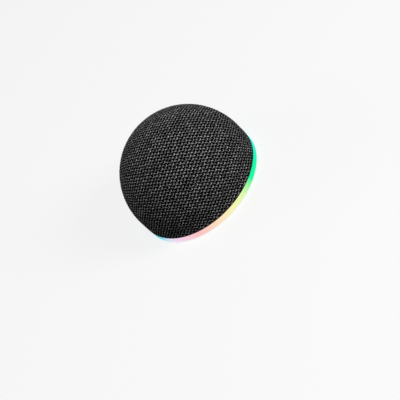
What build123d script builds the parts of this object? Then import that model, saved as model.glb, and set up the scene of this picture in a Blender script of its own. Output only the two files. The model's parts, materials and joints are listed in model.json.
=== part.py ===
from build123d import *
import math
import os

# A dome speaker that holds on by a magnet ring under a grip pad.
# Millimetres, +Z up, origin at the centre of the grip pad's lower face.
# The control panel and charge inlet face +Y.

# Dome and base sizes
dome_radius = 32.0
skirt_height = 6.6
ring_height = 3.0
pad_thickness = 0.6
pad_inset = 2.4
fabric_thickness = 0.8
glue_gap = 0.1
grille_wall = 1.6
fit_gap = 0.3
slide_gap = 0.15
seat_gap = 0.1

# Heights that follow from them
hem_z = pad_thickness + ring_height
equator_z = hem_z + skirt_height
fabric_inner = dome_radius - fabric_thickness
grille_outer = fabric_inner - glue_gap
grille_inner = grille_outer - grille_wall
cavity_radius = grille_inner - fit_gap

# Base shell, light ring and magnet ring
ring_inset = 0.2
ring_outer = dome_radius - ring_inset
ring_wall = 1.5
ring_inner = ring_outer - ring_wall
ring_edge = 0.3
ring_lip_width = 0.8
base_flange_radius = ring_outer - ring_lip_width
base_flange_thickness = 0.5
base_floor = 1.4
base_rim_rise = 0.4
base_rim_z = hem_z + base_rim_rise
groove_wall = 0.8
led_floor = 1.0
led_floor_z = pad_thickness + led_floor
led_groove_gap = 0.2
led_groove_outer = ring_inner - led_groove_gap
led_groove_width = 2.1
led_groove_inner = led_groove_outer - led_groove_width
magnet_groove_outer = led_groove_inner - groove_wall
magnet_groove_width = 4.4
magnet_groove_inner = magnet_groove_outer - magnet_groove_width
magnet_floor = 0.6
magnet_floor_z = pad_thickness + magnet_floor
magnet_thickness = 2.2
magnet_side_gap = 0.2
magnet_count = 16
magnet_break = 1.2
back_plate_thickness = 0.6
led_board_thickness = 0.6
led_count = 16
led_width = 2.0
led_depth = 1.4
led_height = 1.2

# Chassis, seal and the ledge that clamps the grille
seal_thickness = 0.5
chassis_foot_z = base_rim_z + seal_thickness
chassis_flange_thickness = 1.1
chassis_wall = 1.6
chassis_inset = 3.7
chassis_radius = cavity_radius - chassis_inset
shoulder_rise = 8.9
chassis_shoulder_z = equator_z + shoulder_rise
crown_room = 14.1
baffle_rise = dome_radius - crown_room
baffle_top_z = equator_z + baffle_rise
baffle_thickness = 2.0
baffle_radius = math.sqrt(cavity_radius**2 - baffle_rise**2) - fit_gap
ledge_gap = 0.2
ledge_inner = led_groove_inner + ledge_gap
ledge_height = 0.5
ledge_top_z = chassis_foot_z + ledge_height
tower_radius = 2.3
tower_inset = 2.8
tower_orbit = magnet_groove_inner - tower_inset
tower_angles = (30, 150, 210, 330)
base_screw_shank = 0.95
base_screw_head = 1.9
base_screw_head_height = 1.4
base_screw_recess = 0.2
base_screw_reach = 9.0
screw_gap = 0.05

# Grille holes
grille_hole_radius = 1.5
grille_hole_step = 9.0
grille_hole_rings = 5

# Circuit board and battery
board_rise = 2.1
board_bottom_z = equator_z + board_rise
board_thickness = 1.0
board_top_z = board_bottom_z + board_thickness
board_edge_gap = 0.5
board_radius = chassis_radius - chassis_wall - board_edge_gap
board_tab_reach = 2.9
board_tab_radius = board_radius + board_tab_reach
board_tab_width = 29.2
board_post_radius = 2.0
board_post_inset = 3.6
board_post_orbit = board_radius - board_post_inset
board_post_angles = (0, 180, 270)
board_screw_shank = 0.7
board_screw_head = 1.5
board_screw_head_height = 1.0
board_screw_reach = 5.0
battery_side_gap = 0.5
battery_side = tower_orbit * math.cos(math.radians(tower_angles[0])) - tower_radius
battery_width = 2 * (battery_side - battery_side_gap)
battery_end_gap = 2.8
battery_length = 2 * (board_post_orbit - board_post_radius - battery_end_gap)
battery_height = 5.2
battery_pad_thickness = 0.8
battery_pad_inset = 2.0
battery_plug_x = 6.3
battery_plug_inset = 0.2
battery_plug_y = battery_plug_inset - board_post_orbit
connector_width = 5.0
connector_depth = 3.4
connector_height = 2.0
wire_radius = 0.5
wire_pitch = 1.5
flex_angle = 240
flex_width = 4.0
flex_sheet = 0.2

# Control panel: keys, switches and charge socket
panel_width = 33.0
panel_height = 11.0
panel_corner = 4.0
panel_lift = 1.1
panel_z = board_bottom_z + panel_lift
panel_recess = 0.2
panel_flange_margin = 1.0
panel_flange_thickness = 1.2
panel_radius = dome_radius - panel_recess
panel_back = cavity_radius - panel_flange_thickness
panel_depth = dome_radius / 2
key_angles = (-20, 0, 20)
key_width = 7.0
key_height = 3.6
key_rise = 0.15
key_travel = 0.5
key_lip = 0.8
key_lip_thickness = 0.8
symbol_depth = 0.25
symbol_length = 1.7
symbol_width = 0.36
switch_width = 4.6
switch_depth = 3.5
switch_height = 4.3
switch_axis = 2.4
switch_inset = 1.2
switch_back = board_tab_radius - switch_depth - switch_inset
plunger_radius = 0.8
stem_wall = 0.2
plunger_reach = 0.8
plunger_bore_depth = 1.6
key_z = board_top_z + switch_axis
socket_width = 8.94
socket_height = 3.2
socket_length = 7.35
socket_wall = 0.3
socket_recess = 0.8
socket_opening_gap = 0.2
tongue_width = 6.6
tongue_thickness = 0.7
socket_z = board_bottom_z - socket_height / 2
light_pipe_radius = 0.8
light_pipe_angle = -20
sound_hole_radius = 0.6
sound_hole_angle = 20

# Loudspeaker driver, sized outward from its coil and inward from the baffle
gasket_thickness = 0.5
basket_flange_inset = 2.3
basket_flange_width = 4.3
basket_flange_thickness = 0.8
basket_seat_width = 3.3
basket_wall_gap = 0.4
basket_sheet = 0.8
basket_taper = 3.2
basket_depth = 6.0
basket_window_width = 8.0
basket_flange_radius = baffle_radius - basket_flange_inset
basket_flange_inner = basket_flange_radius - basket_flange_width
baffle_hole_radius = basket_flange_radius - basket_seat_width
basket_wall_radius = baffle_hole_radius - basket_wall_gap
basket_plate_radius = basket_wall_radius - basket_taper
basket_z = baffle_top_z + gasket_thickness
basket_top_z = basket_z + basket_flange_thickness
basket_plate_z = basket_z - basket_depth
driver_screw_orbit = (basket_flange_radius + baffle_hole_radius) / 2
driver_screw_angles = (45, 135, 225, 315)
driver_screw_shank = 0.8
driver_screw_head = 1.45
driver_screw_head_height = 1.0
pole_radius = 6.2
air_gap = 0.2
former_wall = 0.15
coil_wall = 0.3
coil_height = 3.8
bond_gap = 0.02
basket_bore_gap = 1.4
basket_bore = pole_radius + basket_bore_gap
top_plate_inset = 0.6
top_plate_radius = basket_plate_radius - top_plate_inset
top_plate_thickness = 1.8
magnet_overhang = 1.0
magnet_ring_radius = top_plate_radius + magnet_overhang
magnet_bore_gap = 3.0
magnet_ring_bore = pole_radius + magnet_bore_gap
yoke_inset = 0.6
yoke_radius = magnet_ring_radius - yoke_inset
yoke_thickness = 2.0
motor_gap = 1.0
roll_radius = 1.5
roll_sheet = 0.4
roll_lip = 1.0
cone_rim = basket_flange_inner - 2 * roll_radius
cone_rim_width = 1.0
cone_sheet = 0.4
cone_neck_drop = 4.0
dust_cap_margin = 1.4
dust_cap_radius = pole_radius + dust_cap_margin
dust_cap_rise = 2.2
dust_cap_sheet = 0.3
spider_seat_width = 2.4
spider_seat_inner = basket_plate_radius - spider_seat_width
spider_seat_height = 0.9
spider_collar = 0.6
spider_sheet = 0.3
spider_wave = 0.35
spider_waves = 3
terminal_angle = 300
terminal_gap = 1.0
terminal_length = 2.6
terminal_width = 6.0
terminal_root = 2.0
lead_bend = 1.2
lead_reach = 2.4

# Small parts on the board
chip_sizes = (5.0, 3.4, 3.0, 3.0)
chip_angles = (229, 315, 120, 60)
chip_height = 0.8
chip_inset = 4.9
chip_orbit = board_radius - chip_inset
radio_width = 7.0
radio_height = 1.8
radio_gap = 0.7
radio_orbit = yoke_radius + radio_gap + radio_width / 2
radio_angle = 252
microphone_width = 3.0
microphone_depth = 4.0
microphone_height = 1.1

os.makedirs("parts", exist_ok=True)


def save(node, shape):
    shape.label = node
    export_step(shape, f"parts/{node}.step")


def spin(points):
    outline = Plane.XZ * Polyline(points, close=True)
    return revolve(make_face(outline), Axis.Z)


def tube(outer, inner, bottom, top):
    return spin([(inner, bottom), (outer, bottom), (outer, top), (inner, top)])


def disc(radius, bottom, top):
    return Pos(0, 0, (bottom + top) / 2) * Cylinder(radius, top - bottom)


def block(width, depth, height, at):
    return Pos(*at) * Box(width, depth, height)


def around(angles, shape):
    return [Rot(0, 0, angle) * shape for angle in angles]


def even(count):
    return [360.0 * step / count for step in range(count)]


def dome_solid(radius, bottom):
    sides = Polyline((0, equator_z + radius), (0, bottom), (radius, bottom), (radius, equator_z))
    crown = CenterArc((0, equator_z), radius, 0, 90)
    return revolve(make_face(Plane.XZ * (sides + crown)), Axis.Z)


def dome_shell(outer, inner, bottom):
    return dome_solid(outer, bottom) - dome_solid(inner, bottom)


def rear_prism(width, height, corner, z):
    outline = RectangleRounded(width, height, corner)
    near = dome_radius - panel_depth
    facing = Plane(origin=(0, near, z), x_dir=(1, 0, 0), z_dir=(0, 1, 0))
    return extrude(facing * outline, 2 * panel_depth)


def rear_slot(width, height, z):
    near = dome_radius - panel_depth
    facing = Plane(origin=(0, near, z), x_dir=(1, 0, 0), z_dir=(0, 1, 0))
    return extrude(facing * SlotOverall(width, height), 2 * panel_depth)


def rear_rod(radius, z, near, far):
    facing = Plane(origin=(0, near, z), x_dir=(1, 0, 0), z_dir=(0, 1, 0))
    return extrude(facing * Circle(radius), far - near)


def wire_run(points, bend):
    path = FilletPolyline(*points, radius=bend)
    section = Plane(origin=path @ 0, z_dir=path % 0) * Circle(wire_radius)
    return sweep(section, path)


# Fabric cover and the perforated grille dome beneath it
panel_window = rear_prism(
    panel_width + 2 * slide_gap,
    panel_height + 2 * slide_gap,
    panel_corner + slide_gap,
    panel_z,
)
fabric_cover = dome_shell(dome_radius, fabric_inner, hem_z) - panel_window
save("fabric_cover", fabric_cover)

grille_dome = dome_shell(grille_outer, grille_inner, hem_z)
grille_dome += tube(grille_inner + seat_gap, ledge_inner, hem_z, ledge_top_z)
hole = Pos(0, 0, (grille_inner + grille_outer) / 2) * Cylinder(
    grille_hole_radius, 3 * grille_wall
)
holes = [Pos(0, 0, equator_z) * hole]
for ring in range(1, grille_hole_rings + 1):
    tilted = Pos(0, 0, equator_z) * Rot(0, ring * grille_hole_step, 0) * hole
    holes += around(even(6 * ring), tilted)
grille_dome -= holes
grille_dome -= panel_window
flex_notch = block(
    grille_inner - ledge_inner + seat_gap,
    flex_width + 2 * fit_gap,
    ledge_top_z - hem_z,
    ((grille_inner + ledge_inner - seat_gap) / 2, 0, (ledge_top_z + hem_z) / 2),
)
grille_dome -= Rot(0, 0, flex_angle) * flex_notch
save("grille_dome", grille_dome)

# Light ring: a clear band with a lip over the base flange
ring_lip = base_flange_radius + seat_gap
ring_lip_z = pad_thickness + seat_gap
ring_seat_z = pad_thickness + base_flange_thickness
light_ring = spin(
    [
        (ring_lip, ring_lip_z),
        (ring_outer, ring_lip_z),
        (ring_outer, hem_z),
        (ring_inner, hem_z),
        (ring_inner, ring_seat_z),
        (ring_lip, ring_seat_z),
    ]
)
rim_edges = light_ring.edges().filter_by(
    lambda edge: abs(edge.radius - ring_outer) < fit_gap
    if edge.geom_type == GeomType.CIRCLE
    else False
)
light_ring = fillet(rim_edges, ring_edge)
save("light_ring", light_ring)

# Base shell: floor, magnet groove, lamp groove, screw seats and board posts
floor_z = pad_thickness + base_floor
inner_wall_radius = magnet_groove_inner - groove_wall
base_shell = spin(
    [
        (0, pad_thickness),
        (base_flange_radius, pad_thickness),
        (base_flange_radius, ring_seat_z),
        (led_groove_outer, ring_seat_z),
        (led_groove_outer, led_floor_z),
        (led_groove_inner, led_floor_z),
        (led_groove_inner, base_rim_z),
        (magnet_groove_outer, base_rim_z),
        (magnet_groove_outer, magnet_floor_z),
        (magnet_groove_inner, magnet_floor_z),
        (magnet_groove_inner, base_rim_z),
        (inner_wall_radius, base_rim_z),
        (inner_wall_radius, floor_z),
        (0, floor_z),
    ]
)
screw_seat = Pos(tower_orbit, 0, 0) * disc(tower_radius, pad_thickness, chassis_foot_z)
screw_seat_limit = disc(magnet_groove_inner, pad_thickness, chassis_foot_z)
base_shell += [seat & screw_seat_limit for seat in around(tower_angles, screw_seat)]
board_post = Pos(board_post_orbit, 0, 0) * disc(board_post_radius, floor_z, board_bottom_z)
base_shell += around(board_post_angles, board_post)
head_seat_z = pad_thickness + base_screw_recess + base_screw_head_height
head_pocket = Pos(tower_orbit, 0, 0) * disc(base_screw_head + seat_gap, 0, head_seat_z)
shank_hole = Pos(tower_orbit, 0, 0) * disc(base_screw_shank + slide_gap, 0, chassis_foot_z)
base_shell -= around(tower_angles, head_pocket + shank_hole)
board_pilot_z = board_bottom_z - board_screw_reach - fit_gap
board_pilot = Pos(board_post_orbit, 0, 0) * disc(
    board_screw_shank + screw_gap, board_pilot_z, board_bottom_z
)
base_shell -= around(board_post_angles, board_pilot)
save("base_shell", base_shell)

grip_pad = disc(dome_radius - pad_inset, 0, pad_thickness)
grip_pad = chamfer(grip_pad.edges().group_by(Axis.Z)[0], pad_thickness / 3)
save("grip_pad", grip_pad)

# Magnet segments under one steel back plate
magnet_outer = magnet_groove_outer - magnet_side_gap
magnet_inner = magnet_groove_inner + magnet_side_gap
magnet_top_z = magnet_floor_z + magnet_thickness
magnet_face = Plane.XZ * Pos(
    (magnet_outer + magnet_inner) / 2, (magnet_floor_z + magnet_top_z) / 2
) * Rectangle(magnet_outer - magnet_inner, magnet_thickness)
magnet_arc = 360.0 / magnet_count - magnet_break
magnet_segment = revolve(magnet_face, Axis.Z, magnet_arc)
save("magnet_segments", Compound(children=around(even(magnet_count), magnet_segment)))
back_plate_top_z = magnet_top_z + back_plate_thickness
save("magnet_back_plate", tube(magnet_outer, magnet_inner, magnet_top_z, back_plate_top_z))

# Lamps that shine outward into the light ring
led_board_outer = led_groove_outer - seat_gap
led_board_inner = led_groove_inner + seat_gap
led_top_z = led_floor_z + led_board_thickness
save("led_board", tube(led_board_outer, led_board_inner, led_floor_z, led_top_z))
led_center = led_board_outer - led_depth / 2 - seat_gap
lamp = block(led_depth, led_width, led_height, (led_center, 0, led_top_z + led_height / 2))
save("ring_lamps", Compound(children=around(even(led_count), lamp)))

# Seal and chassis
seal_outer = led_groove_inner - seat_gap
seal_inner = tower_orbit + tower_radius + seat_gap
flex_slot = Rot(0, 0, flex_angle) * block(
    chassis_radius,
    flex_width + 2 * fit_gap,
    2 * seal_thickness,
    (seal_inner + chassis_radius / 2 - fit_gap, 0, base_rim_z + seal_thickness),
)
chassis_seal = tube(seal_outer, seal_inner, base_rim_z, chassis_foot_z) - flex_slot
save("chassis_seal", chassis_seal)

flange_top_z = chassis_foot_z + chassis_flange_thickness
chassis_bore = chassis_radius - chassis_wall
baffle_under_z = baffle_top_z - baffle_thickness
chassis = spin(
    [
        (chassis_bore, chassis_foot_z),
        (led_groove_inner, chassis_foot_z),
        (led_groove_inner, ledge_top_z),
        (cavity_radius, ledge_top_z),
        (cavity_radius, flange_top_z),
        (chassis_radius, flange_top_z),
        (chassis_radius, chassis_shoulder_z),
        (baffle_radius, baffle_top_z),
        (baffle_hole_radius, baffle_top_z),
        (baffle_hole_radius, baffle_under_z),
        (baffle_radius - chassis_wall, baffle_under_z),
        (chassis_bore, chassis_shoulder_z - chassis_wall),
    ]
)
tower = Pos(tower_orbit, 0, 0) * disc(tower_radius, chassis_foot_z, baffle_under_z + seat_gap)
tower_rib = block(
    chassis_bore - tower_orbit + seat_gap,
    chassis_wall,
    chassis_shoulder_z - chassis_wall - flange_top_z,
    (
        (chassis_bore + tower_orbit + seat_gap) / 2,
        0,
        (chassis_shoulder_z - chassis_wall + flange_top_z) / 2,
    ),
)
chassis += around(tower_angles, tower + tower_rib)
tower_pilot_z = head_seat_z + base_screw_reach + fit_gap
tower_pilot = Pos(tower_orbit, 0, 0) * disc(
    base_screw_shank + screw_gap, chassis_foot_z, tower_pilot_z
)
chassis -= around(tower_angles, tower_pilot)
chassis_window = block(
    board_tab_width + 4 * fit_gap,
    chassis_radius,
    panel_height,
    (0, chassis_radius, panel_z),
)
chassis -= chassis_window
driver_pilot = Pos(driver_screw_orbit, 0, 0) * disc(
    driver_screw_shank + screw_gap, baffle_under_z, baffle_top_z
)
chassis -= around(driver_screw_angles, driver_pilot)
save("chassis", chassis)


def screw(head, head_height, shank, reach):
    cap = Pos(0, 0, head_height / 2) * Cylinder(head, head_height)
    cap -= Pos(0, 0, head_height) * extrude(RegularPolygon(head / 2, 6), -head_height / 2)
    return cap + Pos(0, 0, -reach / 2) * Cylinder(shank, reach)


base_screw = screw(base_screw_head, base_screw_head_height, base_screw_shank, base_screw_reach)
base_screw = Pos(tower_orbit, 0, head_seat_z) * Rot(180, 0, 0) * base_screw
save("base_screws", Compound(children=around(tower_angles, base_screw)))

# Circuit board with a rear tab for the switches and the charge socket
board = disc(board_radius, board_bottom_z, board_top_z)
board_tab = disc(board_tab_radius, board_bottom_z, board_top_z)
board_tab &= block(
    board_tab_width,
    board_tab_radius,
    board_thickness,
    (0, board_tab_radius / 2, (board_bottom_z + board_top_z) / 2),
)
board += board_tab
tower_notch = Pos(tower_orbit, 0, 0) * disc(tower_radius + 2 * fit_gap, board_bottom_z, board_top_z)
notch_way = block(
    tower_radius * 3,
    2 * (tower_radius + 2 * fit_gap),
    board_thickness,
    (tower_orbit + tower_radius * 1.5, 0, (board_bottom_z + board_top_z) / 2),
)
board -= around(tower_angles, tower_notch + notch_way)
board_hole = Pos(board_post_orbit, 0, 0) * disc(
    board_screw_shank + slide_gap, board_bottom_z, board_top_z
)
board -= around(board_post_angles, board_hole)
save("main_board", board)

board_screw = screw(board_screw_head, board_screw_head_height, board_screw_shank, board_screw_reach)
board_screw = Pos(board_post_orbit, 0, board_top_z) * board_screw
save("board_screws", Compound(children=around(board_post_angles, board_screw)))

chips = []
for chip_size, chip_angle in zip(chip_sizes, chip_angles):
    chip = block(chip_size, chip_size, chip_height, (chip_orbit, 0, board_top_z + chip_height / 2))
    chips.append(Rot(0, 0, chip_angle) * chip)
save("board_chips", Compound(children=chips))

radio = block(
    radio_width, radio_width, radio_height, (radio_orbit, 0, board_top_z + radio_height / 2)
)
save("radio_module", Rot(0, 0, radio_angle) * radio)

microphone = block(
    microphone_width,
    microphone_depth,
    microphone_height,
    (0, switch_back + microphone_depth / 2, board_bottom_z - microphone_height / 2),
)
save("microphone", Rot(0, 0, sound_hole_angle) * microphone)

# Battery on a foam pad, with its lead and connector
battery_pad_top_z = floor_z + battery_pad_thickness
battery_pad = block(
    battery_width - 2 * battery_pad_inset,
    battery_length - 2 * battery_pad_inset,
    battery_pad_thickness,
    (0, 0, floor_z + battery_pad_thickness / 2),
)
save("battery_pad", battery_pad)
battery_z = battery_pad_top_z + battery_height / 2
battery_cell = block(battery_width, battery_length, battery_height, (0, 0, battery_z))
battery_cell = fillet(battery_cell.edges().filter_by(Axis.Y), battery_height / 4)
save("battery_cell", battery_cell)

connector_z = board_bottom_z - connector_height / 2
battery_connector = block(
    connector_width, connector_depth, connector_height, (battery_plug_x, battery_plug_y, connector_z)
)
flex_connector = Rot(0, 0, flex_angle) * block(
    connector_depth,
    connector_width,
    connector_height,
    (seal_inner - connector_depth / 2 - flex_sheet - fit_gap, 0, connector_z),
)
save("lower_connectors", Compound(children=[battery_connector, flex_connector]))

battery_wires = []
for side in (-1, 1):
    wire_x = battery_plug_x + side * wire_pitch / 2
    battery_wires.append(
        wire_run(
            [
                (wire_x, -battery_length / 2, battery_pad_top_z + battery_height / 2),
                (wire_x, battery_plug_y, battery_pad_top_z + battery_height / 2),
                (wire_x, battery_plug_y, board_bottom_z - connector_height),
            ],
            lead_bend,
        )
    )
save("battery_lead", Compound(children=battery_wires))

# Flat flex from the lamp board, through the seal, up to the main board
flex_low_z = base_rim_z + flex_sheet
flex_outer = led_board_inner + flex_sheet
flex_inner = seal_inner - flex_sheet
flex_low = block(
    flex_outer + flex_sheet - flex_inner,
    flex_width,
    flex_sheet,
    ((flex_outer + flex_sheet + flex_inner) / 2, 0, flex_low_z + flex_sheet / 2),
)
flex_foot = block(
    flex_sheet,
    flex_width,
    flex_low_z - led_top_z,
    (flex_outer + flex_sheet / 2, 0, (flex_low_z + led_top_z) / 2),
)
flex_rise = block(
    flex_sheet,
    flex_width,
    board_bottom_z - flex_low_z,
    (flex_inner + flex_sheet / 2, 0, (board_bottom_z + flex_low_z) / 2),
)
save("lamp_flex", Rot(0, 0, flex_angle) * (flex_low + flex_foot + flex_rise))

# Control panel: a bezel pushed out through the dome from inside
panel_plug = rear_prism(panel_width, panel_height, panel_corner, panel_z)
panel_plug &= dome_shell(panel_radius, panel_back + panel_flange_thickness / 2, hem_z)
panel_flange = rear_prism(
    panel_width + 2 * panel_flange_margin,
    panel_height + 2 * panel_flange_margin,
    panel_corner + panel_flange_margin,
    panel_z,
)
panel_flange &= dome_shell(cavity_radius, panel_back, hem_z)
control_bezel = panel_plug + panel_flange
key_slot = rear_slot(key_width + 2 * slide_gap, key_height + 2 * slide_gap, key_z)
control_bezel -= around(key_angles, key_slot)
control_bezel -= rear_slot(
    socket_width + 2 * socket_opening_gap, socket_height + 2 * socket_opening_gap, socket_z
)
sound_hole = rear_rod(sound_hole_radius, socket_z, panel_depth, dome_radius)
pipe_hole = rear_rod(light_pipe_radius + screw_gap, socket_z, panel_depth, dome_radius)
control_bezel -= Rot(0, 0, sound_hole_angle) * sound_hole
control_bezel -= Rot(0, 0, light_pipe_angle) * pipe_hole
save("control_bezel", control_bezel)

status_light = rear_rod(light_pipe_radius, socket_z, panel_back, dome_radius)
status_light &= dome_solid(panel_radius, hem_z)
save("status_light", Rot(0, 0, light_pipe_angle) * status_light)

# Keys, each with a raised symbol, a lip behind the bezel and a stem
symbol_bar = rear_prism(symbol_length, symbol_width, symbol_width / 3, key_z)
symbol_post = rear_prism(symbol_width, symbol_length, symbol_width / 3, key_z)
symbol_ring = rear_rod(symbol_length / 2, key_z, panel_depth, dome_radius)
symbol_ring -= rear_rod(symbol_length / 2 - symbol_width, key_z, panel_depth, dome_radius)
symbols = {
    "volume_up_key": symbol_bar + symbol_post,
    "power_key": symbol_ring,
    "volume_down_key": symbol_bar,
}
key_radius = panel_radius + key_rise - symbol_depth
lip_radius = panel_back - seat_gap
stem_far = lip_radius - key_lip_thickness / 2
stem_near = switch_back + switch_depth + plunger_reach
key_cap = rear_slot(key_width, key_height, key_z)
key_face = dome_solid(key_radius, hem_z) - dome_solid(lip_radius - key_lip_thickness, hem_z)
key_lip_block = rear_prism(
    key_width + 2 * key_lip, key_height + 2 * key_lip, key_height / 2, key_z
)
key_lip_block &= dome_shell(lip_radius, lip_radius - key_lip_thickness, hem_z)
key_stem = rear_rod(plunger_radius + stem_wall, key_z, stem_near, stem_far)
for (key_name, symbol), key_angle in zip(symbols.items(), key_angles):
    raised = symbol & dome_shell(key_radius + symbol_depth, key_radius - symbol_depth, hem_z)
    key = (key_cap & key_face) + key_lip_block + key_stem + raised
    save(key_name, Rot(0, 0, key_angle) * key)
    plunger = rear_rod(
        plunger_radius,
        key_z,
        switch_back + switch_depth - plunger_bore_depth + key_travel + seat_gap,
        stem_near,
    )
    save(key_name.replace("_key", "_plunger"), Rot(0, 0, key_angle) * plunger)

switch_body = block(
    switch_width,
    switch_depth,
    switch_height,
    (0, switch_back + switch_depth / 2, board_top_z + switch_height / 2),
)
switch_body -= rear_rod(
    plunger_radius + slide_gap,
    key_z,
    switch_back + switch_depth - plunger_bore_depth,
    switch_back + switch_depth,
)
save("key_switches", Compound(children=around(key_angles, switch_body)))

# Charge socket hung under the board tab
socket_far = panel_radius - socket_recess
socket_near = socket_far - socket_length
socket_plane = Plane(origin=(0, socket_near, socket_z), x_dir=(1, 0, 0), z_dir=(0, 1, 0))
socket_shell = extrude(socket_plane * SlotOverall(socket_width, socket_height), socket_length)
socket_cavity = extrude(
    socket_plane.offset(2 * socket_wall)
    * SlotOverall(socket_width - 2 * socket_wall, socket_height - 2 * socket_wall),
    socket_length,
)
socket_shell -= socket_cavity
save("charge_socket_shell", socket_shell)
tongue_near = socket_near + 2 * socket_wall
tongue_length = socket_length - 4 * socket_wall
tongue = block(
    tongue_width, tongue_length, tongue_thickness, (0, tongue_near + tongue_length / 2, socket_z)
)
save("charge_socket_tongue", tongue)

# Driver: frame, gasket and screws
driver_gasket = tube(basket_flange_radius, baffle_hole_radius, baffle_top_z, basket_z)
gasket_hole = Pos(driver_screw_orbit, 0, 0) * disc(
    driver_screw_shank + slide_gap, baffle_top_z, basket_top_z
)
driver_gasket -= around(driver_screw_angles, gasket_hole)
save("driver_gasket", driver_gasket)

plate_top_z = basket_plate_z + basket_sheet
seat_top_z = plate_top_z + spider_seat_height
driver_frame = spin(
    [
        (basket_bore, basket_plate_z),
        (basket_plate_radius, basket_plate_z),
        (basket_wall_radius, basket_z),
        (basket_flange_radius, basket_z),
        (basket_flange_radius, basket_top_z),
        (basket_flange_inner, basket_top_z),
        (basket_flange_inner, basket_z),
        (basket_plate_radius - basket_sheet / 4, seat_top_z),
        (spider_seat_inner, seat_top_z),
        (spider_seat_inner, plate_top_z),
        (basket_bore, plate_top_z),
    ]
)
window_height = basket_z - seat_top_z - 2 * basket_sheet
basket_window = block(
    2 * basket_flange_radius,
    basket_window_width,
    window_height,
    (0, 0, seat_top_z + basket_sheet + window_height / 2),
)
driver_frame -= [basket_window, Rot(0, 0, 90) * basket_window]
driver_frame -= around(driver_screw_angles, gasket_hole)
terminal_start = basket_plate_radius + terminal_gap
terminal_end = terminal_start + terminal_length
terminal_ear = block(
    terminal_length + terminal_root,
    terminal_width,
    basket_sheet,
    (terminal_end - (terminal_length + terminal_root) / 2, 0, basket_plate_z + basket_sheet / 2),
)
driver_frame += Rot(0, 0, terminal_angle) * terminal_ear
save("driver_frame", driver_frame)

terminal_board = block(
    terminal_length,
    terminal_width,
    basket_sheet,
    (terminal_end - terminal_length / 2, 0, plate_top_z + basket_sheet / 2),
)
save("driver_terminals", Rot(0, 0, terminal_angle) * terminal_board)

driver_screw = screw(
    driver_screw_head,
    driver_screw_head_height,
    driver_screw_shank,
    basket_flange_thickness + gasket_thickness + baffle_thickness - seat_gap,
)
driver_screw = Pos(driver_screw_orbit, 0, basket_top_z) * driver_screw
save("driver_screws", Compound(children=around(driver_screw_angles, driver_screw)))

# Driver motor: top plate, ring magnet and yoke
former_bore = pole_radius + air_gap
former_radius = former_bore + former_wall
coil_bore = former_radius + bond_gap
coil_radius = coil_bore + coil_wall
top_plate_z = basket_plate_z - top_plate_thickness
driver_top_plate = tube(top_plate_radius, coil_radius + air_gap, top_plate_z, basket_plate_z)
save("driver_top_plate", driver_top_plate)
yoke_z = board_top_z + motor_gap
magnet_ring_z = yoke_z + yoke_thickness
save("driver_magnet", tube(magnet_ring_radius, magnet_ring_bore, magnet_ring_z, top_plate_z))
driver_yoke = disc(yoke_radius, yoke_z, magnet_ring_z)
driver_yoke += disc(pole_radius, magnet_ring_z, basket_plate_z)
save("driver_yoke", driver_yoke)

# Moving parts: cone, dust cap, former and coil
cone_top_z = basket_top_z
cone_flat_z = cone_top_z - cone_sheet
cone_flat_inner = cone_rim - cone_rim_width
neck_z = cone_flat_z - cone_neck_drop
neck_radius = former_radius + bond_gap
cone = spin(
    [
        (neck_radius, neck_z),
        (cone_flat_inner, cone_flat_z),
        (cone_rim, cone_flat_z),
        (cone_rim, cone_top_z),
        (cone_flat_inner, cone_top_z),
        (neck_radius, neck_z + cone_sheet),
    ]
)
save("cone", cone)
coil_center_z = basket_plate_z - top_plate_thickness / 2
coil_bottom_z = coil_center_z - coil_height / 2
former_top_z = neck_z + cone_sheet
save("coil_former", tube(former_radius, former_bore, coil_bottom_z - seat_gap, former_top_z))
save("voice_coil", tube(coil_radius, coil_bore, coil_bottom_z, coil_bottom_z + coil_height))

slope = cone_neck_drop / (cone_flat_inner - neck_radius)
cap_base_z = neck_z + cone_sheet + slope * (dust_cap_radius - neck_radius)
cap_ball = (dust_cap_radius**2 + dust_cap_rise**2) / (2 * dust_cap_rise)
cap_center_z = cap_base_z + dust_cap_rise - cap_ball
dust_cap = Pos(0, 0, cap_center_z) * Sphere(cap_ball)
dust_cap -= Pos(0, 0, cap_center_z) * Sphere(cap_ball - dust_cap_sheet)
dust_cap &= disc(cap_ball, cap_base_z, cap_base_z + dust_cap_rise)
save("dust_cap", dust_cap)

# Surround roll and spider, which flex as the cone moves
roll_start = cone_rim
roll_end = roll_start + 2 * roll_radius
with BuildPart() as surround_part:
    with BuildSketch(Plane.XZ):
        with Locations((roll_start + roll_radius, cone_top_z)):
            Circle(roll_radius + roll_sheet)
            Circle(roll_radius, mode=Mode.SUBTRACT)
        below = roll_radius + roll_sheet
        with Locations((roll_start + roll_radius, cone_top_z - below / 2)):
            Rectangle(3 * below, below, mode=Mode.SUBTRACT)
        for lip_start, lip_end in (
            (roll_start - cone_rim_width, roll_start),
            (roll_end, roll_end + roll_lip),
        ):
            with Locations(((lip_start + lip_end) / 2, cone_top_z + roll_sheet / 2)):
                Rectangle(lip_end - lip_start, roll_sheet)
    revolve(axis=Axis.Z)
save("surround", surround_part.part)

spider_inner = former_radius + bond_gap
spider_outer = basket_plate_radius - 2 * basket_sheet
spider_steps = 4 * spider_waves
spider_low_z = seat_top_z
wave_start = spider_inner + spider_collar
wave_length = (spider_seat_inner - wave_start) / spider_steps
spider_top = [(spider_inner, spider_low_z + spider_sheet)]
spider_under = [(spider_inner, spider_low_z)]
for step in range(spider_steps + 1):
    lift = spider_wave * math.sin(step * math.pi / 2)
    spider_top.append((wave_start + step * wave_length, spider_low_z + spider_sheet + lift))
    spider_under.append((wave_start + step * wave_length, spider_low_z + lift))
spider_top.append((spider_outer, spider_low_z + spider_sheet))
spider_under.append((spider_outer, spider_low_z))
save("spider", spin(spider_under + spider_top[::-1]))

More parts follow.
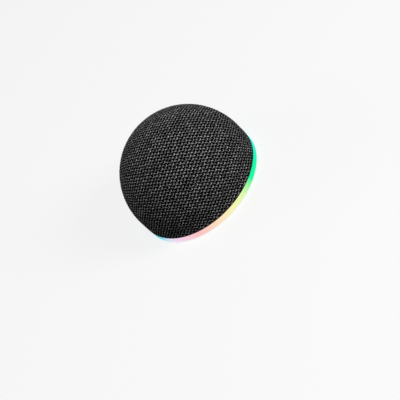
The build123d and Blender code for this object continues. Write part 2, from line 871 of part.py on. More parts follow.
# Driver lead from the terminals down to its connector on the board
lead_orbit = terminal_end + lead_reach
driver_connector = block(
    connector_depth,
    connector_width,
    connector_height,
    (lead_orbit, 0, board_top_z + connector_height / 2),
)
save("driver_connector", Rot(0, 0, terminal_angle) * driver_connector)
driver_wires = []
for side in (-1, 1):
    wire_y = side * wire_pitch / 2
    driver_wires.append(
        wire_run(
            [
                (terminal_end, wire_y, plate_top_z + wire_radius),
                (lead_orbit, wire_y, plate_top_z + wire_radius),
                (lead_orbit, wire_y, board_top_z + connector_height),
            ],
            lead_bend,
        )
    )
save("driver_lead", Rot(0, 0, terminal_angle) * Compound(children=driver_wires))
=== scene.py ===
import json
import math

import bpy
import numpy as np
from mathutils import Matrix, Vector


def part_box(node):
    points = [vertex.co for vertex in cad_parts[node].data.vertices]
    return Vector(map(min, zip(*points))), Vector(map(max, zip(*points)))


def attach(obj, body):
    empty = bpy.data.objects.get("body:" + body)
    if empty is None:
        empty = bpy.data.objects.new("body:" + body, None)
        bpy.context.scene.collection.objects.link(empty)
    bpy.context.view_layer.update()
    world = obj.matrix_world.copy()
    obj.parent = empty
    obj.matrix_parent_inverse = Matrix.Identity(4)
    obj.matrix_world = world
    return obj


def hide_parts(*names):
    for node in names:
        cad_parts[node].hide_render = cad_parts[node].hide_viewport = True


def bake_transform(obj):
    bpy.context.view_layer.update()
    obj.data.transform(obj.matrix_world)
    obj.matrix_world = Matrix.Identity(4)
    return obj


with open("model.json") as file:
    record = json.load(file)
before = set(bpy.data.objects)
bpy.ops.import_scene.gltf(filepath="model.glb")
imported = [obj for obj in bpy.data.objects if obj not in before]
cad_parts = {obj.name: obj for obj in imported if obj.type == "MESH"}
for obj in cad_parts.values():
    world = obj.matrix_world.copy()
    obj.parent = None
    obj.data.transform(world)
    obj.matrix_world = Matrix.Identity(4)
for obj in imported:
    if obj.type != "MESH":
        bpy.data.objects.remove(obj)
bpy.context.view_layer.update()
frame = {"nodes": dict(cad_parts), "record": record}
nodes = frame["nodes"]
scene = bpy.context.scene
scene.view_settings.view_transform = "Standard"

# Sizes in metres, read from the frame where it has them
mm = 0.001
cover_low, cover_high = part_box("fabric_cover")
bezel_low, bezel_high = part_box("control_bezel")
dome_radius = cover_high.x
hem_z = cover_low.z
equator_z = cover_high.z - dome_radius
hem_polar = math.pi / 2 + (equator_z - hem_z) / dome_radius

# The view: its rise, roll and distance, how far under the equator it aims, and the floor
view_rise = math.radians(36.96)
view_roll = math.radians(46.41)
view_distance = 0.640
aim_drop = 5.5 * mm
floor_reach = 6.0

# Window in the cloth for the rear panel, and how points are moved out to its edge
bezel_margin = 1.0 * mm
bezel_corner = 4.0 * mm
window_gap = 0.1 * mm
window_half_width = bezel_high.x - bezel_margin + window_gap
window_half_height = (bezel_high.z - bezel_low.z) / 2 - bezel_margin + window_gap
window_z = (bezel_high.z + bezel_low.z) / 2
window_corner = bezel_corner + window_gap
edge_rounds = 4
slope_step = 0.01 * mm
least_slope = 0.1

# Print on the raised symbols of the keys
key_crown = max(
    math.hypot(point.co.x, point.co.y, max(point.co.z - equator_z, 0))
    for point in nodes["power_key"].data.vertices
)
print_depth = 0.1 * mm
print_grey = 0.5

# The weave: steps from yarn to yarn where the dome faces the viewer, along +X and
# down the dome, and the crown about which the cloth spreads evenly
warp_pitch = np.array([1.205, 1.03]) * mm
weft_pitch = np.array([1.495, -0.65]) * mm
crown_tilt = math.radians(50)
cloth_give = 0.27
cloth_swing = math.radians(162)
least_spacing = 1.35 * mm
swing_limit = math.radians(175)
swing_steps = 500

# The yarns: widths and sways are shares of their spacing, rises are shares of the depth
yarn_samples = 8
yarn_half_width = 0.21
yarn_sway = 0.16
warp_rise = 0.45
weft_rise = 0.58
weave_depth = 0.3 * mm
cloth_thickness = 0.75 * mm

# Edge of the cloth, rolled in and even in height, with painted shade darkening it where it turns in
edge_roll = 0.45 * mm
selvage_width = 0.9 * mm
selvage_fade = 1.5
selvage_height = 0.6
selvage_shade = 0.3

# Unevenness of the yarns in place and in tone, from tables with room for the yarn
# numbers on both sides of zero
weave_seed = 7
table_room = 4
weave_wander = 0.04
wander_waves = (0.11, 0.23, 0.41)
weave_jitter = 0.05
tone_floor = 0.15
crossing_spread = 0.55
yarn_spread = 0.15


def cloth_reach(swing):
    """Flat distance from the crown to a point that lies this angle round the dome."""
    bent = np.minimum(swing, math.pi / 2)
    eased = bent / 2 - np.sin(2 * bent) / 4 + (swing - bent)
    return dome_radius * (swing - cloth_give * eased)


facing_swing = math.pi / 2 - view_rise - crown_tilt
cloth_stretch = np.array(
    [
        dome_radius * math.sin(facing_swing) / cloth_reach(facing_swing),
        1 / (1 - cloth_give * math.sin(facing_swing) ** 2),
    ]
)
warp_step = warp_pitch / cloth_stretch
weft_step = weft_pitch / cloth_stretch


def wander(values, rng):
    """A slow drift along the yarns, made of a few sine waves."""
    total = np.zeros_like(values)
    for wave in wander_waves:
        total += np.sin(values * wave * 2 * math.pi + rng.uniform(0, 2 * math.pi))
    return weave_wander * total


def between_crossings(values, across, along):
    """Blends values given at the crossings to the points that lie between them."""
    row, column = np.floor(across).astype(int), np.floor(along).astype(int)
    down, over = across - row, along - column
    return (
        values[row, column] * (1 - down) * (1 - over)
        + values[row + 1, column] * down * (1 - over)
        + values[row, column + 1] * (1 - down) * over
        + values[row + 1, column + 1] * down * over
    )


def plain_weave(across, along):
    """Height from 0 to 1 of a plain weave, which yarn lies on top, and their numbers."""
    warp = np.floor(across + 0.5)
    weft = np.floor(along + 0.5)
    warp_side = across - warp - yarn_sway * np.cos(2 * math.pi * along)
    weft_side = along - weft
    warp_wave = np.cos(math.pi * (along + warp))
    weft_wave = -np.cos(math.pi * (across + weft))
    heights = []
    for side, wave, rise in ((warp_side, warp_wave, warp_rise), (weft_side, weft_wave, weft_rise)):
        round_top = np.sqrt(np.clip(1 - (side / yarn_half_width) ** 2, 0, 1))
        heights.append(round_top * (1 - rise + rise * wave))
    return np.maximum(*heights), heights[0] > heights[1], warp, weft


def on_dome(flat):
    """Polar angle and azimuth on the dome of each flat point."""
    reach = np.hypot(flat[:, 0], flat[:, 1])
    swings = np.linspace(0, swing_limit, swing_steps)
    swing = np.interp(reach, cloth_reach(swings), swings)
    bearing = np.arctan2(flat[:, 1], flat[:, 0])
    pole = np.array([0, -math.sin(crown_tilt), math.cos(crown_tilt)])
    side = np.array([1.0, 0, 0])
    down = np.array([0, -math.cos(crown_tilt), -math.sin(crown_tilt)])
    heading = np.outer(np.cos(bearing), side) + np.outer(np.sin(bearing), down)
    direction = np.cos(swing)[:, None] * pole + np.sin(swing)[:, None] * heading
    polar = np.arccos(np.clip(direction[:, 2], -1, 1))
    azimuth = np.arctan2(direction[:, 1], direction[:, 0])
    return polar, azimuth


def dome_points(polar, azimuth, inset):
    """Points on the half ball and the straight skirt under it, and their normals."""
    lean = np.minimum(polar, math.pi / 2)
    outward = np.stack(
        [np.sin(lean) * np.cos(azimuth), np.sin(lean) * np.sin(azimuth), np.cos(lean)], axis=1
    )
    points = outward * (dome_radius - inset)[:, None]
    points[:, 2] += equator_z - dome_radius * (polar - lean)
    return points, outward


def window_distance(points):
    """Distance outside the rear window's rounded outline, negative within it."""
    side = np.abs(points[:, 0]) - (window_half_width - window_corner)
    rise = np.abs(points[:, 2] - window_z) - (window_half_height - window_corner)
    outside = np.hypot(np.maximum(side, 0), np.maximum(rise, 0))
    inside = np.minimum(np.maximum(side, rise), 0)
    distance = outside + inside - window_corner
    return np.where(points[:, 1] > 0, distance, dome_radius)


def window_room(polar, azimuth):
    """Distance outside the rear window of points on the smooth dome and skirt."""
    smooth, _ = dome_points(polar, azimuth, np.zeros_like(polar))
    return window_distance(smooth)


def to_window_edge(points):
    """Moves points that fall inside the rear window out to its outline."""
    moved = points.copy()
    for _ in range(edge_rounds):
        distance = window_distance(moved)
        within = distance < 0
        slope = []
        for axis in (0, 2):
            probe = moved.copy()
            probe[:, axis] += slope_step
            slope.append((window_distance(probe) - distance) / slope_step)
        length = np.maximum(np.hypot(*slope), least_slope)
        for axis, part in zip((0, 2), slope):
            moved[:, axis] -= np.where(within, distance * part / length, 0)
    rise = np.maximum(points[:, 2] - equator_z, 0)
    radius = np.sqrt(points[:, 0] ** 2 + points[:, 1] ** 2 + rise**2)
    rise = np.maximum(moved[:, 2] - equator_z, 0)
    level = np.sqrt(np.maximum(radius**2 - rise**2 - moved[:, 0] ** 2, 0))
    inside = window_distance(points) < 0
    moved[:, 1] = np.where(inside, level, points[:, 1])
    return moved


def roll_inset(distance):
    """How far the cloth turns in where it comes within a roll of its edge."""
    near = np.clip(1 - distance / edge_roll, 0, 1)
    return edge_roll * (1 - np.sqrt(1 - near**2))


def yarn_grid(rng, ticks, crossings):
    """Yarn numbers of the points of a square grid, and the flat place of each."""
    across, along = (grid.ravel() for grid in np.meshgrid(ticks, ticks, indexing="ij"))
    jitter = rng.normal(0, weave_jitter, (2, *crossings))
    bent_across = across + wander(along, rng)
    bent_across += between_crossings(jitter[0], across, along)
    bent_along = along + wander(across, rng)
    bent_along += between_crossings(jitter[1], across, along)
    flat = np.outer(bent_across, warp_step) + np.outer(bent_along, weft_step)
    return across, along, flat


def grid_faces(side):
    """The four-sided faces of a square grid of points."""
    index = np.arange(side * side).reshape(side, side)
    corners = [index[:-1, :-1], index[:-1, 1:], index[1:, 1:], index[1:, :-1]]
    return np.stack(corners, axis=-1).reshape(-1, 4)


def rim_edges(faces):
    """Edges that one face alone has, each in that face's direction."""
    sides = ([0, 1], [1, 2], [2, 3], [3, 0])
    directed = np.concatenate([faces[:, side] for side in sides])
    edges = np.sort(directed, axis=1)
    _, first, count = np.unique(edges, axis=0, return_index=True, return_counts=True)
    return directed[first[count == 1]]


def mesh_object(name, points, faces, material, body):
    mesh = bpy.data.meshes.new(name)
    mesh.from_pydata(points.tolist(), [], faces.tolist())
    mesh.shade_smooth()
    mesh.materials.append(material)
    piece = bpy.data.objects.new(name, mesh)
    scene.collection.objects.link(piece)
    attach(piece, body)
    return piece


def float_layer(piece, name, values):
    layer = piece.data.attributes.new(name, "FLOAT", "POINT")
    layer.data.foreach_set("value", values.astype(np.float32))


def map_layer(piece, name, places):
    """Writes the flat place of each point as a texture map."""
    corner_points = np.zeros(len(piece.data.loops), dtype=np.int32)
    piece.data.loops.foreach_get("vertex_index", corner_points)
    layer = piece.data.uv_layers.new(name=name)
    layer.data.foreach_set("uv", places[corner_points].astype(np.float32).ravel())


def weave_cover(material):
    """The cloth: a sheet with the relief of its weave, turned in at its edges."""
    rng = np.random.default_rng(weave_seed)
    span = int(cloth_reach(cloth_swing) / least_spacing)
    ticks = np.arange(-span * yarn_samples, span * yarn_samples + 1) / yarn_samples + 0.5
    table_size = table_room * span
    crossings = (table_size, table_size)
    across, along, flat = yarn_grid(rng, ticks, crossings)
    polar, azimuth = on_dome(flat)

    kept = (polar < hem_polar) & (window_room(np.minimum(polar, hem_polar), azimuth) > 0)
    faces = grid_faces(len(ticks))
    faces = faces[kept[faces].any(axis=1)]
    used, faces = np.unique(faces, return_inverse=True)
    faces = faces.reshape(-1, 4)

    polar = np.minimum(polar[used], hem_polar)
    azimuth = azimuth[used]
    across, along = across[used], along[used]
    height, warp_on_top, warp, weft = plain_weave(across, along)
    hem_room = dome_radius * (hem_polar - polar)
    edge_room = np.minimum(hem_room, np.maximum(window_room(polar, azimuth), 0))
    # Near the edges the painted shade falls to the selvage's dark grey where the cloth turns in
    selvage = np.clip(selvage_fade * (1 - edge_room / selvage_width), 0, 1)
    shade = height + (selvage_shade - height) * selvage
    height = height + (selvage_height - height) * selvage
    inset = np.minimum(weave_depth * (1 - height) + roll_inset(edge_room), cloth_thickness)
    points, outward = dome_points(polar, azimuth, inset)
    points = to_window_edge(points)

    rim = rim_edges(faces)
    rim_points = np.unique(rim)
    inner = np.full(len(points), -1)
    inner[rim_points] = len(points) + np.arange(len(rim_points))
    turned_in = points[rim_points] - outward[rim_points] * cloth_thickness
    rim_faces = np.stack([rim[:, 1], rim[:, 0], inner[rim[:, 0]], inner[rim[:, 1]]], axis=1)
    all_points = np.concatenate([points, turned_in])
    all_faces = np.concatenate([faces, rim_faces])
    piece = mesh_object("woven_cover", all_points, all_faces, material, "housing")

    crossing_tone = rng.uniform(0, 1, crossings)
    yarn_tone = rng.uniform(0, 1, (2, table_size))
    row, column = warp.astype(int), weft.astype(int)
    yarn = np.where(warp_on_top, yarn_tone[0][row], yarn_tone[1][column])
    tone = tone_floor + crossing_spread * crossing_tone[row, column] + yarn_spread * yarn
    # The turned-in edge gets a relief of 0, painted shade of near black down the cloth's cut edge
    dark = np.zeros(len(rim_points))
    float_layer(piece, "relief", np.concatenate([shade, dark]))
    float_layer(piece, "tone", np.concatenate([tone, dark]))
    float_layer(piece, "warp_on_top", np.concatenate([warp_on_top.astype(float), dark]))
    places = np.stack([across, along], axis=1)
    map_layer(piece, "cloth", np.concatenate([places, places[rim_points]]))

    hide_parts("fabric_cover")


def flexing_ring(node, name):
    """Copies a ring's mesh into a piece of its own, unchanged in shape, and hides the part it came from.
    """
    mesh = nodes[node].data.copy()
    piece = bpy.data.objects.new(name, mesh)
    scene.collection.objects.link(piece)
    points = np.array([point.co for point in mesh.vertices])
    radius = np.hypot(points[:, 0], points[:, 1])
    laid_out = np.stack([radius, np.zeros_like(radius), points[:, 2]], axis=1)
    mesh.vertices.foreach_set("co", laid_out.astype(np.float32).ravel())
    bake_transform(piece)
    mesh.vertices.foreach_set("co", points.astype(np.float32).ravel())
    mesh.update()
    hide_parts(node)


# Material building blocks
def material_tree(name):
    material = bpy.data.materials.new(name)
    material.use_nodes = True
    return material, material.node_tree, material.node_tree.nodes["Principled BSDF"]


def add_node(tree, kind, **values):
    node = tree.nodes.new(kind)
    for key, value in values.items():
        setattr(node, key, value)
    return node


def ramp_node(tree, source, stops):
    ramp = tree.nodes.new("ShaderNodeValToRGB")
    elements = ramp.color_ramp.elements
    while len(elements) < len(stops):
        elements.new(0.5)
    for element, (place, colour) in zip(elements, stops):
        element.position = place
        element.color = (*colour, 1)
    tree.links.new(source, ramp.inputs["Fac"])
    return ramp


def noise_node(tree, coordinates, scale, detail=2.0):
    noise = tree.nodes.new("ShaderNodeTexNoise")
    noise.inputs["Scale"].default_value = scale
    noise.inputs["Detail"].default_value = detail
    tree.links.new(coordinates, noise.inputs["Vector"])
    return noise


def range_node(tree, source, low, high):
    spread = tree.nodes.new("ShaderNodeMapRange")
    spread.inputs["To Min"].default_value = low
    spread.inputs["To Max"].default_value = high
    tree.links.new(source, spread.inputs["Value"])
    return spread


def bump_node(tree, height, distance, strength=1.0):
    bump = tree.nodes.new("ShaderNodeBump")
    bump.inputs["Strength"].default_value = strength
    bump.inputs["Distance"].default_value = distance
    tree.links.new(height, bump.inputs["Height"])
    return bump


def multiplied(tree, first, second):
    mix = add_node(tree, "ShaderNodeMix", data_type="RGBA", blend_type="MULTIPLY")
    mix.inputs["Factor"].default_value = 1.0
    tree.links.new(first, mix.inputs["A"])
    tree.links.new(second, mix.inputs["B"])
    return mix.outputs["Result"]


def scaled(colour, factor):
    return tuple(min(part * factor, 1) for part in colour)


def greys(stops, factor=1.0):
    """Ramp stops of plain greys, from pairs of place and level."""
    return [(place, scaled((level, level, level), factor)) for place, level in stops]


# Cloth: painted shade by height in the weave, near black in the hollows between yarns and lightest on the
# yarn tops, greys by yarn tone and by slow drift, and fine fibres
painted_relief_shade = ((0.08, 0.001), (0.3, 0.02), (0.55, 0.22), (0.78, 0.6), (1.0, 1.0))
# Painted light: warp crossings are lighter than weft ones to even out the shading that falls differently
# on the two
weft_lightness = 0.7
warp_lightness = 0.89
tone_greys = ((0.1, 0.25), (0.6, 0.6), (0.95, 1.0))
drift_greys = ((0.3, 0.8), (0.7, 1.0))
drift_turn = math.radians(17)
drift_length = 3.0
drift_scale = 0.3
fibre_fineness = 7.0
fibre_length = 1.2
fibre_scale = 2.0
fibre_detail = 3.0
fibre_depth = 0.12 * mm
fibre_strength = 0.7
cloth_roughness = 0.95


def fabric_material():
    material, tree, shader = material_tree("charcoal_weave")
    relief = add_node(tree, "ShaderNodeAttribute", attribute_name="relief")
    tone = add_node(tree, "ShaderNodeAttribute", attribute_name="tone")
    warp_on_top = add_node(tree, "ShaderNodeAttribute", attribute_name="warp_on_top")
    cloth = add_node(tree, "ShaderNodeUVMap", uv_map="cloth")

    # Painted shade: each yarn colour runs from near black in the weave's hollows to its lightest on the
    # yarn tops
    weft_colour = ramp_node(tree, relief.outputs["Fac"], greys(painted_relief_shade, weft_lightness))
    warp_colour = ramp_node(tree, relief.outputs["Fac"], greys(painted_relief_shade, warp_lightness))
    yarn_colour = add_node(tree, "ShaderNodeMix", data_type="RGBA")
    tree.links.new(warp_on_top.outputs["Fac"], yarn_colour.inputs["Factor"])
    tree.links.new(weft_colour.outputs["Color"], yarn_colour.inputs["A"])
    tree.links.new(warp_colour.outputs["Color"], yarn_colour.inputs["B"])
    tone_colour = ramp_node(tree, tone.outputs["Fac"], greys(tone_greys))
    toned = multiplied(tree, yarn_colour.outputs["Result"], tone_colour.outputs["Color"])
    drift = add_node(tree, "ShaderNodeMapping", vector_type="TEXTURE")
    drift.inputs["Rotation"].default_value = (0, 0, drift_turn)
    drift.inputs["Scale"].default_value = (drift_length, 1, 1)
    tree.links.new(cloth.outputs["UV"], drift.inputs["Vector"])
    cloud = noise_node(tree, drift.outputs["Vector"], drift_scale)
    cloud_colour = ramp_node(tree, cloud.outputs["Fac"], greys(drift_greys))
    melange = multiplied(tree, toned, cloud_colour.outputs["Color"])
    tree.links.new(melange, shader.inputs["Base Color"])

    fibres = []
    for stretch in ((fibre_fineness, fibre_length, 1), (fibre_length, fibre_fineness, 1)):
        mapping = tree.nodes.new("ShaderNodeMapping")
        mapping.inputs["Scale"].default_value = stretch
        tree.links.new(cloth.outputs["UV"], mapping.inputs["Vector"])
        fibres.append(noise_node(tree, mapping.outputs["Vector"], fibre_scale, fibre_detail))
    warp_fibre, weft_fibre = fibres
    fibre = add_node(tree, "ShaderNodeMix", data_type="FLOAT")
    tree.links.new(warp_on_top.outputs["Fac"], fibre.inputs["Factor"])
    tree.links.new(weft_fibre.outputs["Fac"], fibre.inputs["A"])
    tree.links.new(warp_fibre.outputs["Fac"], fibre.inputs["B"])
    bump = bump_node(tree, fibre.outputs["Result"], fibre_depth, fibre_strength)
    tree.links.new(bump.outputs["Normal"], shader.inputs["Normal"])
    shader.inputs["Roughness"].default_value = cloth_roughness
    shader.inputs["Specular IOR Level"].default_value = 0.0
    return material


# Plain materials: fine grain in gloss and height, and a broader drift of the colour
grain_detail = 3.0
broad_share = 0.06
broad_band = (0.3, 0.7)
gloss_spread = 0.08


def moulded(name, colour, roughness, grain, depth, metallic=0.0, specular=0.5, spread=0.25):
    """A surface with fine grain, whose colour drifts by the spread."""
    material, tree, shader = material_tree(name)
    place = tree.nodes.new("ShaderNodeTexCoord").outputs["Object"]
    fine = noise_node(tree, place, 1 / grain, grain_detail)
    broad = noise_node(tree, place, broad_share / grain)
    ends = (scaled(colour, 1 - spread), scaled(colour, 1 + spread))
    tint = ramp_node(tree, broad.outputs["Fac"], list(zip(broad_band, ends)))
    tree.links.new(tint.outputs["Color"], shader.inputs["Base Color"])
    gloss = range_node(tree, fine.outputs["Fac"], roughness - gloss_spread, roughness + gloss_spread)
    tree.links.new(gloss.outputs["Result"], shader.inputs["Roughness"])
    bump = bump_node(tree, fine.outputs["Fac"], depth)
    tree.links.new(bump.outputs["Normal"], shader.inputs["Normal"])
    shader.inputs["Metallic"].default_value = metallic
    shader.inputs["Specular IOR Level"].default_value = specular
    return material


def srgb(red, green, blue):
    """Linear colour from display values between 0 and 1."""

    def linear(part):
        return part / 12.92 if part <= 0.04045 else ((part + 0.055) / 1.055) ** 2.4

    return tuple(linear(part) for part in (red, green, blue))


# Light ring: hues by bearing in degrees from +X towards -Y, and its frosted surface
ring_hues = (
    (-180, srgb(0.05, 0.68, 0.80)),
    (-140, srgb(0.25, 0.50, 0.98)),
    (-100, srgb(0.55, 0.42, 0.98)),
    (-60, srgb(0.25, 0.55, 0.98)),
    (-20, srgb(0.02, 0.84, 0.98)),
    (25, srgb(0.04, 0.94, 0.79)),
    (42, srgb(0.00, 0.98, 0.65)),
    (56, srgb(0.03, 0.97, 0.63)),
    (61, srgb(0.52, 0.96, 0.62)),
    (72, srgb(0.87, 0.98, 0.68)),
    (84, srgb(0.95, 0.97, 0.69)),
    (98, srgb(0.99, 0.89, 0.74)),
    (120, srgb(0.99, 0.76, 0.76)),
    (140, srgb(0.96, 0.82, 0.91)),
    (151, srgb(0.88, 0.87, 0.95)),
    (161, srgb(0.45, 0.87, 0.94)),
    (168, srgb(0.10, 0.72, 0.78)),
    (180, srgb(0.05, 0.68, 0.80)),
)
frost_grain = 2.5 * mm
frost_gloss = (0.35, 0.55)
ring_body_grey = 0.005
ring_specular = 0.02


def light_ring_material():
    material, tree, shader = material_tree("lit_diffuser")
    place = tree.nodes.new("ShaderNodeTexCoord").outputs["Object"]
    split = tree.nodes.new("ShaderNodeSeparateXYZ")
    tree.links.new(place, split.inputs["Vector"])
    bearing = add_node(tree, "ShaderNodeMath", operation="ARCTAN2")
    tree.links.new(split.outputs["Y"], bearing.inputs[0])
    tree.links.new(split.outputs["X"], bearing.inputs[1])
    turn = range_node(tree, bearing.outputs["Value"], 0, 1)
    turn.inputs["From Min"].default_value = math.pi
    turn.inputs["From Max"].default_value = -math.pi
    stops = [(angle / 360 + 0.5, hue) for angle, hue in ring_hues]
    hues = ramp_node(tree, turn.outputs["Result"], stops)
    tree.links.new(hues.outputs["Color"], shader.inputs["Emission Color"])
    frost = noise_node(tree, place, 1 / frost_grain)
    gloss = range_node(tree, frost.outputs["Fac"], *frost_gloss)
    tree.links.new(gloss.outputs["Result"], shader.inputs["Roughness"])
    shader.inputs["Base Color"].default_value = (ring_body_grey, ring_body_grey, ring_body_grey, 1)
    shader.inputs["Emission Strength"].default_value = 1.0
    shader.inputs["Specular IOR Level"].default_value = ring_specular
    return material


def key_material():
    """Satin keys whose raised symbols carry a pale print."""
    material = moulded(
        "satin_key_plastic", (0.045, 0.045, 0.048), roughness=0.42, grain=0.2 * mm, depth=0.01 * mm
    )
    tree = material.node_tree
    shader = tree.nodes["Principled BSDF"]
    plain = shader.inputs["Base Color"].links[0].from_socket
    place = tree.nodes.new("ShaderNodeTexCoord").outputs["Object"]
    split = tree.nodes.new("ShaderNodeSeparateXYZ")
    tree.links.new(place, split.inputs["Vector"])
    rise = add_node(tree, "ShaderNodeMath", operation="SUBTRACT")
    rise.inputs[1].default_value = equator_z
    tree.links.new(split.outputs["Z"], rise.inputs[0])
    above = add_node(tree, "ShaderNodeMath", operation="MAXIMUM")
    above.inputs[1].default_value = 0.0
    tree.links.new(rise.outputs["Value"], above.inputs[0])
    join = tree.nodes.new("ShaderNodeCombineXYZ")
    tree.links.new(split.outputs["X"], join.inputs["X"])
    tree.links.new(split.outputs["Y"], join.inputs["Y"])
    tree.links.new(above.outputs["Value"], join.inputs["Z"])
    radius = add_node(tree, "ShaderNodeVectorMath", operation="LENGTH")
    tree.links.new(join.outputs["Vector"], radius.inputs[0])
    print_mask = add_node(tree, "ShaderNodeMath", operation="GREATER_THAN")
    print_mask.inputs[1].default_value = key_crown - print_depth
    tree.links.new(radius.outputs["Value"], print_mask.inputs[0])
    printed = add_node(tree, "ShaderNodeMix", data_type="RGBA")
    printed.inputs["B"].default_value = (print_grey, print_grey, print_grey, 1)
    tree.links.new(print_mask.outputs["Value"], printed.inputs["Factor"])
    tree.links.new(plain, printed.inputs["A"])
    tree.links.new(printed.outputs["Result"], shader.inputs["Base Color"])
    return material


# Looks of the record's material slots, apart from the cloth
looks = {
    "black_plastic": moulded(
        "satin_black_plastic",
        (0.016, 0.016, 0.017),
        roughness=0.5,
        grain=0.25 * mm,
        depth=0.02 * mm,
        specular=0.3,
    ),
    "light_ring": light_ring_material(),
    "silicone": moulded(
        "soft_silicone", (0.028, 0.028, 0.03), roughness=0.72, grain=0.4 * mm, depth=0.02 * mm
    ),
    "magnet": moulded(
        "nickel_plate", (0.62, 0.61, 0.58), roughness=0.24, grain=0.5 * mm, depth=0.004 * mm, metallic=1.0
    ),
    "steel": moulded(
        "plain_steel", (0.52, 0.52, 0.53), roughness=0.32, grain=0.2 * mm, depth=0.006 * mm, metallic=1.0
    ),
    "board_green": moulded(
        "green_solder_mask", (0.012, 0.10, 0.04), roughness=0.35, grain=0.6 * mm, depth=0.01 * mm
    ),
    "board_white": moulded(
        "white_solder_mask",
        (0.75, 0.75, 0.73),
        roughness=0.35,
        grain=0.6 * mm,
        depth=0.01 * mm,
        spread=0.06,
    ),
    "lamp": moulded(
        "lamp_phosphor", (0.80, 0.72, 0.35), roughness=0.3, grain=0.3 * mm, depth=0.01 * mm, spread=0.1
    ),
    "foam": moulded(
        "closed_cell_foam", (0.03, 0.03, 0.03), roughness=0.9, grain=0.3 * mm, depth=0.08 * mm
    ),
    "key_plastic": key_material(),
    "chip_black": moulded(
        "moulded_resin", (0.014, 0.014, 0.014), roughness=0.55, grain=0.15 * mm, depth=0.01 * mm
    ),
    "connector_white": moulded(
        "natural_nylon", (0.72, 0.69, 0.60), roughness=0.45, grain=0.3 * mm, depth=0.01 * mm, spread=0.08
    ),
    "battery_wrap": moulded(
        "foil_pouch",
        (0.56, 0.57, 0.58),
        roughness=0.35,
        grain=1.2 * mm,
        depth=0.05 * mm,
        metallic=1.0,
        spread=0.1,
    ),
    "wire": moulded(
        "wire_sleeve", (0.35, 0.02, 0.02), roughness=0.4, grain=0.3 * mm, depth=0.01 * mm
    ),
    "flex": moulded(
        "polyimide_film", (0.35, 0.15, 0.03), roughness=0.28, grain=0.5 * mm, depth=0.004 * mm
    ),
    "ferrite": moulded(
        "sintered_ferrite", (0.04, 0.04, 0.042), roughness=0.62, grain=0.2 * mm, depth=0.03 * mm
    ),
    "copper": moulded(
        "enamelled_copper",
        (0.65, 0.26, 0.10),
        roughness=0.3,
        grain=0.12 * mm,
        depth=0.03 * mm,
        metallic=1.0,
    ),
    "paper_cone": moulded(
        "pressed_pulp", (0.03, 0.03, 0.029), roughness=0.85, grain=0.25 * mm, depth=0.06 * mm
    ),
    "cloth_spider": moulded(
        "resin_cloth", (0.42, 0.26, 0.09), roughness=0.8, grain=0.2 * mm, depth=0.08 * mm
    ),
    "clear_pipe": moulded(
        "frosted_pipe", (0.75, 0.78, 0.76), roughness=0.25, grain=0.3 * mm, depth=0.004 * mm, spread=0.05
    ),
}
for subpart in frame["record"]["subparts"]:
    slot = subpart["material_slot"]
    if slot in looks:
        part = nodes[subpart["node"]]
        part.data.materials.clear()
        part.data.materials.append(looks[slot])

weave_cover(fabric_material())
flexing_ring("surround", "surround_roll")
flexing_ring("spider", "spider_cloth")

# Camera: on the -Y side, raised, and rolled so that the dome leans to the left
level = Vector((1, 0, 0))
upward = Vector((0, math.sin(view_rise), math.cos(view_rise)))
back = Vector((0, -math.cos(view_rise), math.sin(view_rise)))
camera_right = math.cos(view_roll) * level - math.sin(view_roll) * upward
camera_up = math.cos(view_roll) * upward + math.sin(view_roll) * level
camera_data = bpy.data.cameras.new("camera")
camera_data.lens = 123.75
camera_data.sensor_width = 36.0
camera_data.shift_x = 0.0119
camera_data.shift_y = -0.0515
camera = bpy.data.objects.new("camera", camera_data)
turned = Matrix((camera_right, camera_up, back)).transposed().to_4x4()
aim = Vector((0, 0, equator_z - aim_drop))
camera.matrix_world = Matrix.Translation(aim + back * view_distance) @ turned
scene.collection.objects.link(camera)
scene.camera = camera

# Studio: pale floor, white surroundings and soft lamps
sky_strength = 0.01
floor_grey = 0.95
floor_bounce_grey = 0.08
floor_white_share = 0.78


def seen_by_eye(tree):
    """One where a ray comes from the eye, straight or by a mirror or glass."""
    path = tree.nodes.new("ShaderNodeLightPath")
    seen = path.outputs["Is Camera Ray"]
    for ray in ("Is Glossy Ray", "Is Transmission Ray"):
        either = add_node(tree, "ShaderNodeMath", operation="MAXIMUM")
        tree.links.new(seen, either.inputs[0])
        tree.links.new(path.outputs[ray], either.inputs[1])
        seen = either.outputs["Value"]
    return seen


def blend_shaders(tree, first, second):
    mix = tree.nodes.new("ShaderNodeMixShader")
    tree.links.new(first, mix.inputs[1])
    tree.links.new(second, mix.inputs[2])
    return mix


def plain_shader(tree, kind, grey):
    shader = tree.nodes.new(kind)
    shader.inputs["Color"].default_value = (grey, grey, grey, 1)
    return shader


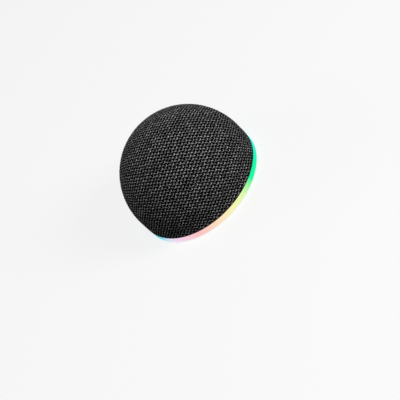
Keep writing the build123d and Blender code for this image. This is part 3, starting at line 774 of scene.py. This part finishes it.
def light_studio():
    world = bpy.data.worlds.new("studio")
    world.use_nodes = True
    scene.world = world
    tree = world.node_tree
    light = plain_shader(tree, "ShaderNodeBackground", 1.0)
    light.inputs["Strength"].default_value = sky_strength
    white = plain_shader(tree, "ShaderNodeBackground", 1.0)
    white.inputs["Strength"].default_value = 1.0
    sky = blend_shaders(tree, light.outputs["Background"], white.outputs["Background"])
    tree.links.new(seen_by_eye(tree), sky.inputs["Fac"])
    tree.links.new(sky.outputs["Shader"], tree.nodes["World Output"].inputs["Surface"])


def floor_material():
    material, tree, _ = material_tree("pale_floor")
    bounce = plain_shader(tree, "ShaderNodeBsdfDiffuse", floor_bounce_grey)
    shaded = plain_shader(tree, "ShaderNodeBsdfDiffuse", floor_grey)
    white = plain_shader(tree, "ShaderNodeEmission", 1.0)
    white.inputs["Strength"].default_value = 1.0
    seen = blend_shaders(tree, shaded.outputs["BSDF"], white.outputs["Emission"])
    seen.inputs["Fac"].default_value = floor_white_share
    look = blend_shaders(tree, bounce.outputs["BSDF"], seen.outputs["Shader"])
    tree.links.new(seen_by_eye(tree), look.inputs["Fac"])
    tree.links.new(look.outputs["Shader"], tree.nodes["Material Output"].inputs["Surface"])
    return material


light_studio()
floor_mesh = bpy.data.meshes.new("floor")
corners = [(x * floor_reach, y * floor_reach, 0) for x, y in ((-1, -1), (1, -1), (1, 1), (-1, 1))]
floor_mesh.from_pydata(corners, [], [(0, 1, 2, 3)])
floor_mesh.materials.append(floor_material())
floor = bpy.data.objects.new("floor", floor_mesh)
scene.collection.objects.link(floor)


def soft_lamp(name, direction, distance, size, level):
    """A round lamp that lights a white surface facing it to this level."""
    data = bpy.data.lights.new(name, "AREA")
    data.shape = "DISK"
    data.size = size
    data.energy = level * (math.pi * distance) ** 2
    lamp = bpy.data.objects.new(name, data)
    place = Vector(direction).normalized() * distance
    aimed = (-place).to_track_quat("-Z", "Y").to_matrix().to_4x4()
    lamp.matrix_world = Matrix.Translation(place) @ aimed
    scene.collection.objects.link(lamp)


soft_lamp("key", direction=(0.64, -0.62, 0.45), distance=1.0, size=0.4, level=0.63)
soft_lamp("top", direction=(0.02, -0.3, 0.95), distance=1.0, size=0.4, level=0.42)
soft_lamp("left", direction=(-0.75, 0.6, 0.25), distance=1.0, size=0.6, level=0.3)
soft_lamp("rear", direction=(0.6, 0.8, 0.1), distance=1.0, size=0.6, level=0.1)
